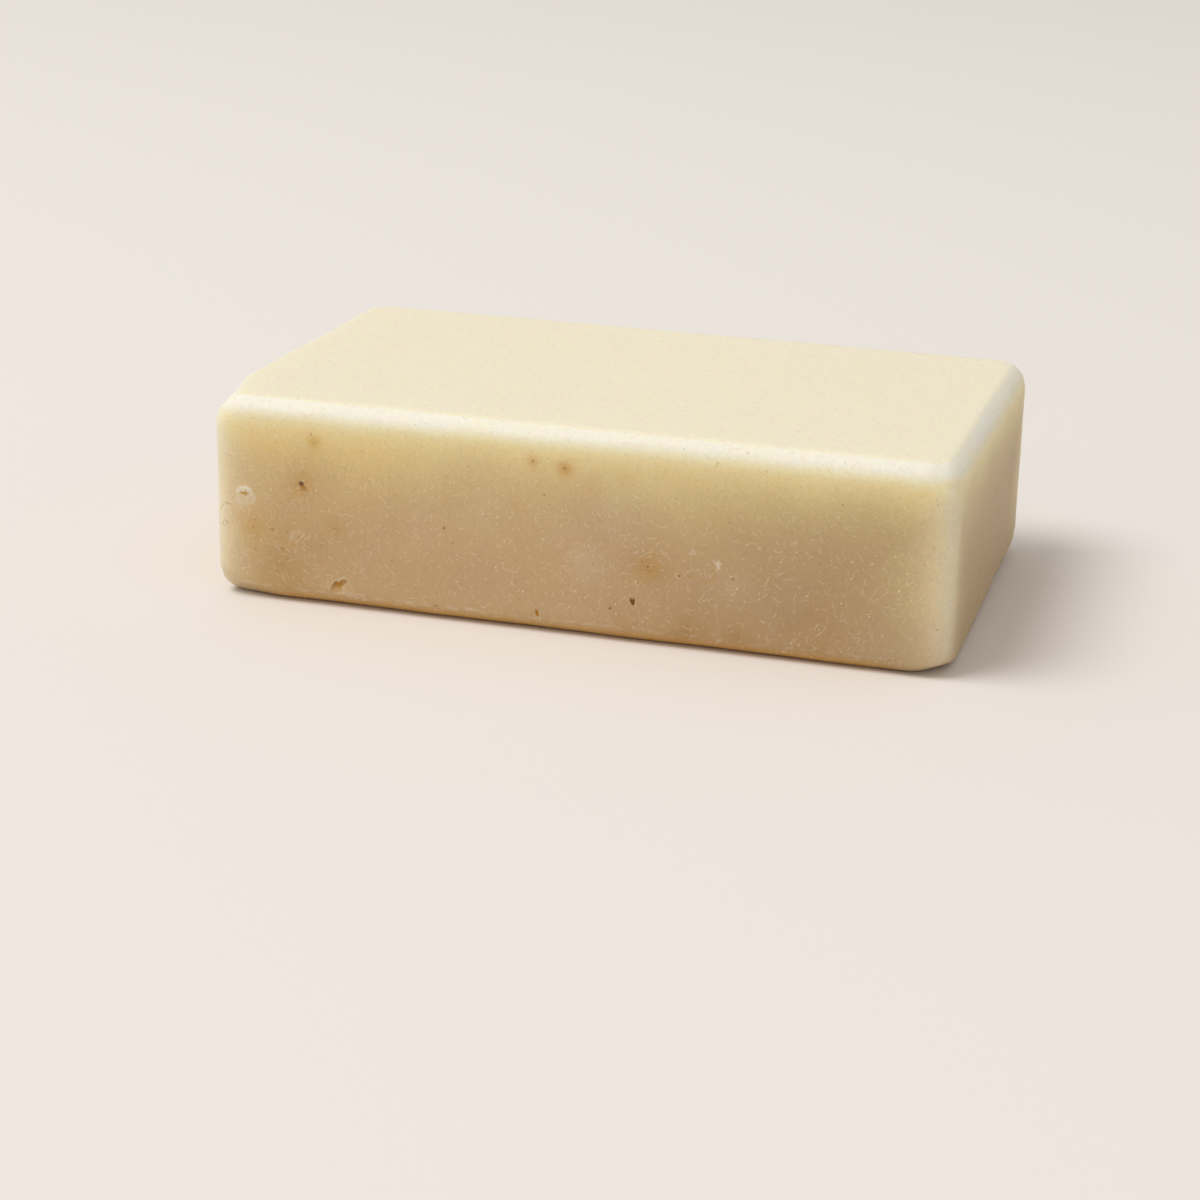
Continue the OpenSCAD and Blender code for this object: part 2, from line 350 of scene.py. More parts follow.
class Marks:
    """Height, paleness and depth of colour that the marks give to places on the front face. The depth of
    colour in hollows follows their depth: partly the soap's inner colour, partly painted shade.
    """

    def __init__(self, points):
        self.points = points
        self.x = points[:, 0]
        self.z = points[:, 2]
        self.height = np.zeros(len(points))
        self.pale = np.zeros(len(points))
        self.sunk = np.zeros(len(points))

    def near(self, at, reach):
        """The points within reach of a place, with their x and z."""
        found = np.nonzero(np.hypot(self.x - at[0], self.z - at[1]) < reach)[0]
        return found, self.x[found], self.z[found]

    def add(self, found, height=0.0, pale=0.0, sunk=0.0):
        self.height[found] += height
        self.pale[found] = np.maximum(self.pale[found], pale)
        self.sunk[found] = np.maximum(self.sunk[found], sunk)

    def pit(self):
        """A ragged hole with a crumbled, whitish ring, and a pale smear under it."""
        found, x, z = self.near(PIT_AT, 3.5)
        places = self.points[found]
        crumbs = grain(places, 0.30, 5)
        soft = grain(places, 0.9, 6)
        edge = outline_distance(x, z, PIT_HOLE) + 0.04 * crumbs
        hole = 1.0 - smoothstep(-0.12, 0.10, edge)
        ring = np.hypot((x - PIT_AT[0]) / 1.32, (z - PIT_AT[1] - 0.05) / 1.08) + 0.07 * soft
        upper = smoothstep(-0.9, 0.7, z - PIT_AT[1])
        band = (1.0 - smoothstep(0.80, 1.08, ring)) * (1 - hole)
        smear = 1.0 - smoothstep(-0.45, 0.40, outline_distance(x, z, PIT_SMEAR) + 0.15 * soft)
        lumps = np.clip(0.5 + 1.2 * crumbs, 0.0, 1.0)
        height = -0.10 * hole + band * (0.03 + 0.06 * upper * lumps) + 0.03 * smear
        streak = np.exp(-((line_distance(x, z, PIT_STREAK) / 0.20) ** 2))
        pale = np.maximum(band * (0.12 + 0.50 * upper + 0.25 * upper * lumps), 0.30 * smear * (1 - hole))
        pale = np.maximum(pale, 0.45 * streak)
        self.add(found, height, pale, 0.50 * hole)
        self.crumbs(PIT_CRUMBS, 0.55, 0.95)

    def chip(self):
        """Two lobes broken out over the bottom bevel, deepest under the cusp between them."""
        found, x, z = self.near(CHIP_AT, 4.0)
        rough = grain(self.points[found], 0.5, 7)
        edge = outline_distance(x, z, CHIP_EDGE) + 0.03 * rough
        inside = 1.0 - smoothstep(-0.12, 0.04, edge)
        left = 1.0 - smoothstep(-31.9, -31.4, x)
        fall = np.clip((z - 2.0) / 1.6, 0.0, 1.0)
        depth = (0.26 + 0.27 * left) * fall
        core = np.exp(-(((x + 32.1) / 0.75) ** 2 + ((z - 3.45) / 0.75) ** 2))
        self.add(found, -depth * inside, 0.0, inside * (0.35 * fall + 0.85 * core))

    def flake(self):
        """A shallow curved nick at the lower right of a pale flake."""
        found, x, z = self.near(FLAKE_AT, 3.0)
        soft = grain(self.points[found], 0.8, 8)
        flake = 1.0 - smoothstep(-0.20, 0.15, outline_distance(x, z, FLAKE_EDGE) + 0.12 * soft)
        groove = np.exp(-((line_distance(x, z, FLAKE_GROOVE) / 0.17) ** 2)) * (0.75 + 0.6 * soft)
        self.add(found, 0.03 * flake - 0.09 * groove, 0.12 * flake * (1 - groove), 0.30 * groove)

    def corner_nick(self):
        """A small three-cornered nick, deepest at its right."""
        found, x, z = self.near(CORNER_NICK_AT, 2.0)
        rough = grain(self.points[found], 0.3, 9)
        edge = outline_distance(x, z, CORNER_NICK_EDGE) + 0.03 * rough
        inside = 1.0 - smoothstep(-0.10, 0.06, edge)
        fall = smoothstep(-40.5, -39.7, x)
        self.add(found, -0.17 * inside * (0.4 + 0.6 * fall), 0.0, inside * (0.30 + 0.45 * fall))

    def scuff(self):
        """A pale star-shaped scuff that stands a little above the face."""
        found, x, z = self.near(SCUFF_AT, 2.0)
        rough = grain(self.points[found], 0.4, 15)
        on = 1.0 - smoothstep(-0.10, 0.08, outline_distance(x, z, SCUFF_EDGE) + 0.05 * rough)
        self.add(found, 0.03 * on, 0.62 * on)

    def lines(self):
        """Fine lines, drawn with a slightly unsteady hand."""
        for points, half, height, pale in LINES:
            found, x, z = self.near(np.mean(np.array(points), axis=0), 4.0)
            places = self.points[found]
            x = x + 0.09 * grain(places, 0.6, 16)
            z = z + 0.09 * grain(places, 0.6, 17)
            pressed = 0.75 + 0.5 * grain(places, 0.5, 18)
            on = pressed * np.exp(-((line_distance(x, z, points) / half) ** 2))
            self.add(found, height * on, pale * on, 0.5 * on if height < 0 else 0.0)

    def ridge(self):
        """A pale, torn edge along the upper ridge of the bottom bevel."""
        found = np.nonzero(self.z < 4.0)[0]
        places = self.points[found]
        level = 2.0 + 0.24 * grain(places * (0.8, 1.0, 0.2), 1.0, 19)
        torn = np.clip(0.25 + 1.3 * grain(places * (1.0, 1.0, 0.2), 1.3, 20), 0.0, 1.0)
        on = torn * np.exp(-(((self.z[found] - level) / 0.22) ** 2))
        self.add(found, 0.05 * on, 0.40 * on)

    def crumbs(self, places, height=0.5, pale=0.85):
        """Small crumbs that stand on the surface: places are (x, z, radius)."""
        for cx, cz, radius in places:
            found, x, z = self.near((cx, cz), radius * 3)
            rough = grain(self.points[found], radius, 10)
            on = np.exp(-((np.hypot(x - cx, z - cz) / radius) ** 2) * (1.0 + 0.4 * rough))
            self.add(found, height * radius * on, pale * on, 0.0)


def ridge_crumbs(seed=3):
    """Crumbs left along the lower ridge of the top bevel and along the bottom bevel."""
    draw = random.Random(seed)
    top = SIZE.z - 1.9
    bottom = LOW.z + 1.9
    # Number of crumbs, then the ends of their range along the ridge, about its height and in radius
    rows = (
        (16, (-14.0, 2.0), top, (-0.2, 0.25), (0.07, 0.15)),
        (26, (-46.0, 48.0), top, (-0.3, 0.3), (0.06, 0.11)),
        (14, (-44.0, 48.0), bottom, (-0.3, 0.3), (0.05, 0.10)),
    )
    places = []
    for count, along, ridge, beside, radius in rows:
        for _ in range(count):
            places.append((draw.uniform(*along), ridge + draw.uniform(*beside), draw.uniform(*radius)))
    places += [(-29.6, 1.6, 0.13), (-28.6, 1.5, 0.14), (-28.1, 1.6, 0.12)]
    places += [(28.9, 1.3, 0.15), (-19.6, 1.9, 0.12)]
    return places


def cut_long_edges(bm, axis, pitch):
    """Divides every long edge that runs along an axis, so that its faces become a grid."""
    chosen = []
    for edge in bm.edges:
        run = edge.verts[0].co - edge.verts[1].co
        if abs(run[axis]) > 4 * pitch and abs(run[axis]) > 0.99 * run.length:
            chosen.append(edge)
    cuts = round(max(edge.calc_length() for edge in chosen) / pitch) - 1
    bmesh.ops.subdivide_edges(bm, edges=chosen, cuts=cuts, use_grid_fill=True)


def refine(bm, wanted):
    """Halves the faces whose middles are wanted."""
    edges = {edge for face in bm.faces if wanted(face.calc_center_median()) for edge in face.edges}
    bmesh.ops.subdivide_edges(bm, edges=list(edges), cuts=1, use_grid_fill=True, use_single_edge=True)


def front_disc(at, reach):
    """Says whether a point is on the front face and within reach of a place."""
    return lambda p: p.y < FRONT + 2.5 and math.hypot(p.x - at[0], p.z - at[1]) < reach


def block_mesh(shape):
    """A block with rounded edges, cut into a grid that is finer on the front and round the marks."""
    bm = bmesh.new()
    bmesh.ops.create_cube(bm, size=1.0)
    bmesh.ops.scale(bm, vec=SIZE, verts=bm.verts)
    bmesh.ops.translate(bm, vec=MIDDLE, verts=bm.verts)
    bmesh.ops.bevel(
        bm, geom=bm.edges[:], offset=shape.bevel * 1.5, offset_type="OFFSET",
        segments=shape.bevel_rows, profile=0.5, affect="EDGES", material=-1,
    )
    for axis in range(3):
        cut_long_edges(bm, axis, shape.pitch)
    refine(bm, lambda p: p.y < FRONT + 1.2)
    for reach in (3.4, 2.6, 1.9):
        refine(bm, front_disc(PIT_AT, reach))
    for reach in (4.2, 3.0, 2.2):
        refine(bm, front_disc(CHIP_AT, reach))
    for reach in (2.4, 1.9, 1.5):
        refine(bm, front_disc(FLAKE_AT, reach))
    for reach in (1.8, 1.4, 1.1):
        refine(bm, front_disc(CORNER_NICK_AT, reach))
    for reach in (2.6, 2.2, 1.9):
        refine(bm, front_disc((-48.2, 11.6), reach))
    for reach in (1.7, 1.2):
        refine(bm, front_disc(SCUFF_AT, reach))
    refine(bm, front_disc((16.6, 13.3), 0.9))
    return bm


def colour_shares(points):
    """Shares of the cream edge colour, the yellow rim colour and the warm under-edge colour at each point.
    The cream is partly dried soap and partly painted light, stronger towards the top and the left and
    weaker towards the base; the yellow is painted glow; the warm colour is painted shade and warm reflected
    light.
    """
    reach = np.array(SIZE) / 2
    gaps = reach - np.abs(points - np.array(MIDDLE))
    clouds = grain(points, 11.0, 11) + 0.5 * grain(points, 5.0, 12)
    below_top = np.clip(HIGH.z - points[:, 2], 0, None)
    above_base = np.clip(points[:, 2] - LOW.z, 0, None)
    from_upright = np.clip(np.maximum(gaps[:, 0], gaps[:, 1]), 0, None)
    from_side = np.clip(np.minimum(gaps[:, 0], gaps[:, 1]), 0, None)
    # The rims' cream and yellow reach further down on the left half of the front than on the right half,
    # less so towards the back: painted light falling from the left.
    left = smoothstep(15.0, 32.0, -points[:, 0]) * smoothstep(0.0, 24.0, MIDDLE.y - points[:, 1])
    flat = 1.0 - smoothstep(0.3, 2.4, gaps[:, 2])
    rim = np.exp(-(np.clip(below_top - 1.2, 0, None) / (1.5 + 0.5 * left)) ** 1.4)
    rim *= 1.0 - flat * smoothstep(1.0, 7.0, from_side)
    # Painted light: the cream by the upright edges fades out towards the base, where no light falls.
    upright = 0.70 * np.exp(-(from_upright / (2.6 + 0.6 * left)) ** 1.4) * smoothstep(-3.0, 3.0, above_base)
    upright *= 0.82 + 0.18 * smoothstep(3.0, 11.0, above_base)
    dry_and_lit = np.clip(np.maximum(rim, upright) * (1.0 + 0.25 * clouds), 0, 1)
    # Painted glow: yellow light that seems to shine through the soap under the top rim and beside the
    # upright edges, weaker towards the base.
    glow = np.exp(-(below_top / (7.4 + 1.9 * left + 1.5 * clouds)) ** 1.7)
    side_glow = 0.55 * np.exp(-(from_upright / (6.5 + 1.5 * clouds)) ** 1.5)
    side_glow *= 0.45 + 0.55 * smoothstep(2.0, 12.0, above_base)
    yellow = np.clip(np.maximum(glow, side_glow), 0, 1)
    # Painted shade and warm reflected light on the bottom bevels and the base, fading out at the ends.
    under = (1.0 - smoothstep(0.3, 2.1, above_base)) * (1.0 - smoothstep(39.0, 46.0, np.abs(points[:, 0])))
    return dry_and_lit, yellow, under


def warm_share(points):
    """How warm the cloudy patches are at each point."""
    return smoothstep(-0.15, 0.75, grain(points, 13.0, 13) + 0.5 * grain(points, 6.0, 14))


def patch_share(points, patches):
    """Soft round patches on the front face, each given as x, z, radius and strength."""
    share = np.zeros(len(points))
    for x, z, radius, strength in patches:
        near = np.linalg.norm(points - np.array((x, FRONT, z)), axis=1) / radius
        share = np.maximum(share, strength * np.exp(-1.8 * near ** 1.8))
    return share


def cloud_share(points, patches):
    """Patches of the front face whose outlines are blurred and broken like clouds."""
    broken = 1.0 + 0.5 * grain(points, 3.5, 21) + 0.3 * grain(points, 1.6, 22)
    return np.clip(patch_share(points, patches) * broken, 0.0, 1.0)


def set_attribute(mesh, name, values):
    layer = mesh.attributes.new(name, "FLOAT", "POINT")
    layer.data.foreach_set("value", np.asarray(values, np.float32))


def set_facing(mesh, normals):
    """Keeps which way each point faces, for strokes that lie in the surface."""
    layer = mesh.attributes.new("facing", "FLOAT_VECTOR", "POINT")
    layer.data.foreach_set("vector", np.asarray(normals, np.float32).ravel())


def make_bar(shape):
    """The worn bar as one closed mesh, with its marks and their colour attributes."""
    bm = block_mesh(shape)
    bm.verts.ensure_lookup_table()
    points = wear_points(np.array([v.co[:] for v in bm.verts]), shape)
    for vert, point in zip(bm.verts, points):
        vert.co = point
    bm.normal_update()
    normals = np.array([v.normal[:] for v in bm.verts])
    on_front = normals[:, 1] < -0.35
    marks = Marks(points)
    marks.pit()
    marks.chip()
    marks.flake()
    marks.corner_nick()
    marks.scuff()
    marks.ridge()
    marks.lines()
    marks.crumbs(ridge_crumbs())
    height = np.where(on_front, marks.height, 0.0)
    points = points + normals * height[:, None]
    points[:, 2] = np.maximum(points[:, 2], LOW.z)
    for vert, point in zip(bm.verts, points):
        vert.co = point
    bmesh.ops.recalc_face_normals(bm, faces=bm.faces[:])
    for face in bm.faces:
        face.smooth = True
    mesh = bpy.data.meshes.new(BAR_PIECE)
    bm.to_mesh(mesh)
    bm.free()
    set_attribute(mesh, "pale", np.where(on_front, np.clip(marks.pale, 0, 1), 0.0))
    # Colour in hollows, strongest where deepest: partly the soap's inner colour, partly painted shade.
    set_attribute(mesh, "sunk", np.where(on_front, np.clip(marks.sunk, 0, 1), 0.0))
    for name, values in zip(("dry_and_lit", "yellow", "under"), colour_shares(points)):
        set_attribute(mesh, name, values)
    set_facing(mesh, normals)
    set_attribute(mesh, "warm", warm_share(points))
    set_attribute(mesh, "stain", patch_share(points, STAINS))
    set_attribute(mesh, "cloud_and_shade", cloud_share(points, DARK_CLOUDS_AND_SHADE))
    set_attribute(mesh, "haze_and_light", cloud_share(points, PALE_CLOUDS_AND_LIGHT))
    mesh.transform(Matrix.Scale(MM, 4))
    bar = bpy.data.objects.new(BAR_PIECE, mesh)
    bpy.context.scene.collection.objects.link(bar)
    return bar


class Nodes:
    """Adds shader nodes to one tree and links them as it goes."""

    def __init__(self, tree):
        self.tree = tree
        self.tree.nodes.clear()

    def link(self, source, socket):
        if isinstance(source, bpy.types.NodeSocket):
            self.tree.links.new(source, socket)
        else:
            socket.default_value = source

    def math(self, operation, *values, clamp=False):
        node = self.tree.nodes.new("ShaderNodeMath")
        node.operation = operation
        node.use_clamp = clamp
        for socket, value in zip(node.inputs, values):
            self.link(value, socket)
        return node.outputs[0]

    def vector_math(self, operation, *values):
        node = self.tree.nodes.new("ShaderNodeVectorMath")
        node.operation = operation
        for socket, value in zip(node.inputs, values):
            if value is not None:
                self.link(value, socket)
        return node.outputs["Value" if operation in ("LENGTH", "DOT_PRODUCT") else "Vector"]

    def placed(self, vector, location, turn=0, scale=(1, 1, 1)):
        """The vector as seen from a place, turned about the front face's normal and scaled."""
        node = self.tree.nodes.new("ShaderNodeMapping")
        node.vector_type = "TEXTURE"
        node.inputs["Location"].default_value = location
        node.inputs["Rotation"].default_value = (0, math.radians(turn), 0)
        node.inputs["Scale"].default_value = scale
        self.link(vector, node.inputs["Vector"])
        return node.outputs[0]

    def noise(self, vector, size, detail=2.0, distortion=0.0, output="Fac"):
        node = self.tree.nodes.new("ShaderNodeTexNoise")
        node.inputs["Scale"].default_value = 1.0 / size
        node.inputs["Detail"].default_value = detail
        node.inputs["Distortion"].default_value = distortion
        self.link(vector, node.inputs["Vector"])
        return node.outputs[output]

    def cells(self, vector, size):
        """Random cells of about the given size: offset from the cell's centre, and its random colour."""
        node = self.tree.nodes.new("ShaderNodeTexVoronoi")
        node.inputs["Scale"].default_value = 1.0 / size
        self.link(vector, node.inputs["Vector"])
        return self.vector_math("SUBTRACT", vector, node.outputs["Position"]), node.outputs["Color"]

    def ramp(self, value, low, high, start=0.0, end=1.0):
        """A smooth step from start to end while the value goes from low to high."""
        node = self.tree.nodes.new("ShaderNodeMapRange")
        node.interpolation_type = "SMOOTHSTEP"
        node.inputs["From Min"].default_value = low
        node.inputs["From Max"].default_value = high
        node.inputs["To Min"].default_value = start
        node.inputs["To Max"].default_value = end
        self.link(value, node.inputs["Value"])
        return node.outputs[0]

    def split(self, vector):
        """The three parts of a vector."""
        node = self.tree.nodes.new("ShaderNodeSeparateXYZ")
        self.link(vector, node.inputs[0])
        return node.outputs

    def channel(self, colour, index=0):
        node = self.tree.nodes.new("ShaderNodeSeparateColor")
        self.link(colour, node.inputs[0])
        return node.outputs[index]

    def mix(self, share, first, second):
        node = self.tree.nodes.new("ShaderNodeMix")
        node.data_type = "RGBA"
        self.link(share, node.inputs["Factor"])
        self.link(first, node.inputs["A"])
        self.link(second, node.inputs["B"])
        return node.outputs["Result"]

    def attribute(self, name, output="Fac"):
        node = self.tree.nodes.new("ShaderNodeAttribute")
        node.attribute_name = name
        return node.outputs[output]


def fibres(nodes, place, facing, size, half_width, share, seed):
    """Thin bowed strokes that lie in the surface and run every way: one in a share of the cells."""
    offset, colour = nodes.cells(nodes.placed(place, (seed * 3.7, seed * 1.9, seed * 5.3)), size)
    lot = nodes.vector_math("SUBTRACT", colour, (0.5, 0.5, 0.5))
    lean = nodes.vector_math("NORMALIZE", nodes.vector_math("CROSS_PRODUCT", facing, lot))
    along = nodes.vector_math("CROSS_PRODUCT", facing, lean)
    run = nodes.vector_math("DOT_PRODUCT", offset, along)
    bend = nodes.math("MULTIPLY_ADD", nodes.channel(colour, 2), 2.2 / size, -0.6 / size)
    bow = nodes.math("MULTIPLY", nodes.math("MULTIPLY", run, run), bend)
    off = nodes.math("ABSOLUTE", nodes.math("ADD", nodes.vector_math("DOT_PRODUCT", offset, lean), bow))
    thin = nodes.ramp(off, 0.0, half_width, 1.0, 0.0)
    within = nodes.ramp(nodes.vector_math("LENGTH", offset), size * 0.18, size * 0.50, 1.0, 0.0)
    kept = nodes.ramp(nodes.channel(colour), share - 0.9, share, 1.0, 0.0)
    return nodes.math("MULTIPLY", nodes.math("MULTIPLY", thin, within), kept)


def specks(nodes, place, size, radius, kinds):
    """Round specks, at most one to a cell. Each kind gives the ends of its share of the cells."""
    offset, colour = nodes.cells(place, size)
    drop = nodes.ramp(nodes.vector_math("LENGTH", offset), radius * 0.15, radius, 1.0, 0.0)
    lot = nodes.channel(colour)
    found = []
    for low, high in kinds:
        inside = nodes.math("COMPARE", lot, (low + high) / 2, (high - low) / 2)
        found.append(nodes.math("MULTIPLY", drop, inside))
    return found


def soap_material(finish):
    """Waxy soap: cream at its edges, partly dried soap and partly painted light, and tan within, with
    specks, fibres, flecks and soft sheen.
    """
    material = bpy.data.materials.new("cured soap")
    material.use_nodes = True
    nodes = Nodes(material.node_tree)
    tree = nodes.tree
    object_place = tree.nodes.new("ShaderNodeTexCoord").outputs["Object"]
    place = nodes.vector_math("MULTIPLY", object_place, (1 / MM, 1 / MM, 1 / MM))
    warp = nodes.noise(place, 1.3, detail=2.0, output="Color")
    warp = nodes.vector_math("SUBTRACT", warp, (0.5, 0.5, 0.5))
    bent_place = nodes.vector_math("ADD", place, nodes.vector_math("MULTIPLY", warp, (0.45, 0.45, 0.45)))
    rough_place = nodes.vector_math("ADD", place, nodes.vector_math("MULTIPLY", warp, (0.35, 0.0, 0.35)))

    # Tan sides with warmer clouds and painted shade towards the right end, painted yellow glow towards the
    # rims, cream edges that are partly painted light, a paler top, and a warm base of painted shade and
    # reflected light
    x, y, z = nodes.split(place)
    warm = nodes.math("MULTIPLY", nodes.attribute("warm"), 0.5)
    colour = nodes.mix(warm, finish.tan[:], finish.warm[:])
    # Painted shade: the soap's colour darkens towards the right end.
    right = nodes.ramp(x, -2.0, 36.0, 1.0, finish.right_shade)
    colour = nodes.vector_math("SCALE", colour, None, None, right)
    # Painted glow towards the rims: yellow, golden towards the left end.
    golden = nodes.math("MULTIPLY", nodes.ramp(x, -48.0, -43.0), nodes.ramp(x, -32.0, -14.0, 1.0, 0.0))
    rim = nodes.mix(golden, finish.yellow[:], finish.golden_rim[:])
    colour = nodes.mix(nodes.attribute("yellow"), colour, rim)
    # Darker brown patches: partly brown clouds in the soap, partly painted shade along the bottom edge.
    colour = nodes.mix(nodes.attribute("cloud_and_shade"), colour, finish.cloud_and_shade[:])
    # Cream edges and pale patches: partly dried soap, partly painted light.
    dry_and_lit = nodes.math("MAXIMUM", nodes.attribute("dry_and_lit"), nodes.attribute("haze_and_light"))
    colour = nodes.mix(dry_and_lit, colour, finish.cream[:])
    # Painted shade and warm reflected light on the bottom bevels and the base.
    colour = nodes.mix(nodes.math("MULTIPLY", nodes.attribute("under"), 0.85), colour, finish.under[:])
    # The top face is painted paler than the sides: partly its own colour, partly painted light falling on
    # it.
    wavy = nodes.noise(place, 3.0, detail=2.0)
    edge = nodes.math("MULTIPLY_ADD", wavy, 0.16, HIGH.z - 0.42)
    top = nodes.ramp(nodes.math("SUBTRACT", z, edge), 0.0, 0.10)
    colour = nodes.mix(top, colour, finish.top[:])
    fine = nodes.noise(place, 0.8, detail=3.0)
    swirls = nodes.noise(place, 0.9, detail=2.0, distortion=3.0)
    rings = nodes.math("SINE", nodes.math("MULTIPLY", nodes.noise(place, 5.0, detail=1.0), 110.0))
    fine_shade = nodes.ramp(fine, 0.30, 0.70, 0.985, 1.012)
    swirl_shade = nodes.ramp(swirls, 0.35, 0.65, 0.975, 1.02)
    ring_shade = nodes.ramp(rings, -1.0, 1.0, 0.992, 1.008)
    shade = nodes.math("MULTIPLY", fine_shade, swirl_shade)
    shade = nodes.math("MULTIPLY", shade, ring_shade)
    colour = nodes.vector_math("SCALE", colour, None, None, shade)
    colour = nodes.mix(nodes.attribute("stain"), colour, finish.halo[:])

    # Fibre-like strokes, white dots, brown specks and dark specks
    facing = nodes.attribute("facing", "Vector")
    strokes = nodes.math("MAXIMUM", fibres(nodes, bent_place, facing, 1.7, 0.13, 1.15, 1),
                         fibres(nodes, bent_place, facing, 1.1, 0.12, 1.15, 2))
    furrows = fibres(nodes, bent_place, facing, 1.3, 0.12, 1.15, 3)
    colour = nodes.mix(nodes.math("MULTIPLY", strokes, finish.fibre_strength), colour, finish.dots[:])
    colour = nodes.mix(nodes.math("MULTIPLY", furrows, 0.17), colour, finish.golden[:])
    white, brown, dark = specks(nodes, bent_place, 0.90, 0.17, ((0.0, 0.34), (0.4, 0.50), (0.62, 0.65)))
    colour = nodes.mix(nodes.math("MULTIPLY", white, 0.75), colour, finish.dots[:])
    colour = nodes.mix(nodes.math("MULTIPLY", brown, 0.50), colour, finish.golden[:])
    colour = nodes.mix(nodes.math("MULTIPLY", dark, 0.55), colour, finish.grey[:])

    inks = {"brown": finish.brown, "golden": finish.golden, "orange": finish.orange, "grey": finish.grey}
    for at_x, at_z, long, wide, turn, strength, kind in FLECKS:
        seen = nodes.placed(rough_place, (at_x, FRONT, at_z), turn, (long, 1.0, wide))
        inner, outer = (0.1, 1.4) if kind == "orange" else (0.5, 1.15)
        core = nodes.ramp(nodes.vector_math("LENGTH", seen), inner, outer, strength, 0.0)
        colour = nodes.mix(core, colour, inks[kind][:])

    # Golden colour in hollows, strongest where deepest: partly the soap's inner colour, partly painted
    # shade.
    sunk = nodes.attribute("sunk")
    colour = nodes.mix(nodes.math("MULTIPLY", sunk, 0.8), colour, finish.sunk[:])
    pale = nodes.attribute("pale")
    colour = nodes.mix(nodes.math("MULTIPLY", pale, 0.85), colour, finish.pale[:])

    # Relief of the grain, the strokes and the specks
    relief = nodes.math("MULTIPLY", fine, 0.5)
    relief = nodes.math("MULTIPLY_ADD", strokes, 0.30, relief)
    relief = nodes.math("MULTIPLY_ADD", furrows, -0.30, relief)
    relief = nodes.math("MULTIPLY_ADD", white, 0.35, relief)
    relief = nodes.math("MULTIPLY_ADD", brown, -0.35, relief)
    relief = nodes.math("MULTIPLY_ADD", rings, 0.05, relief)
    bump = tree.nodes.new("ShaderNodeBump")
    bump.inputs["Strength"].default_value = 0.6
    bump.inputs["Distance"].default_value = 0.06 * MM
    nodes.link(relief, bump.inputs["Height"])

    shader = tree.nodes.new("ShaderNodeBsdfPrincipled")
    nodes.link(colour, shader.inputs["Base Color"])
    nodes.link(bump.outputs[0], shader.inputs["Normal"])
    rough = nodes.ramp(fine, 0.25, 0.75, finish.roughness - 0.05, finish.roughness + 0.08)
    rough = nodes.math("MULTIPLY_ADD", pale, 0.2, rough, clamp=True)
    nodes.link(rough, shader.inputs["Roughness"])
    shader.subsurface_method = "RANDOM_WALK"
    shader.inputs["Subsurface Weight"].default_value = finish.translucency
    shader.inputs["Subsurface Radius"].default_value = (1.0, 0.8, 0.42)
    shader.inputs["Subsurface Scale"].default_value = finish.depth
    shader.inputs["IOR"].default_value = 1.47
    shader.inputs["Specular IOR Level"].default_value = 0.42
    output = tree.nodes.new("ShaderNodeOutputMaterial")
    nodes.link(shader.outputs[0], output.inputs["Surface"])
    return material


def colour_property(name, description, default):
    return FloatVectorProperty(name=name, description=description, default=default, size=4,
                               subtype="COLOR", min=0.0, max=1.0)


class SoapShape(bpy.types.PropertyGroup):
    """Sizes of the bar's wear, in millimetres."""

    bevel: FloatProperty(name="Bevel", description="How far the planed bevel reaches in from every edge",
                         default=1.8)
    corner_in: FloatProperty(name="Corner", description="How far from a corner its rounding starts",
                             default=4.4)
    upright_bevel: FloatProperty(name="Upright bevel", description="Bevel on the upright edges",
                                 default=1.25)
    corner_slack: FloatProperty(name="Corner slack", description="How much fuller the corners stay",
                                default=0.45)
    soft_wear: FloatProperty(name="Soft ridges", description="Width worn on the upright ridges",
                             default=0.9)
    ridge_wear: FloatProperty(name="Ridges", description="Width worn on the other ridges", default=0.8)
    crisp_wear: FloatProperty(name="Crisp ridges", description="Width worn on the ridges of the top face",
                              default=0.22)
    unevenness: FloatProperty(name="Unevenness", description="How far the cut faces sink in places",
                              default=0.10)
    bevel_change: FloatProperty(name="Bevel change", description="How far the bevel's width drifts",
                                default=0.18)
    pitch: FloatProperty(name="Pitch", description="Size of the mesh's faces before refining",
                         default=0.86)
    bevel_rows: IntProperty(name="Bevel rows", description="Rows of faces across an edge",
                            default=10, min=4)


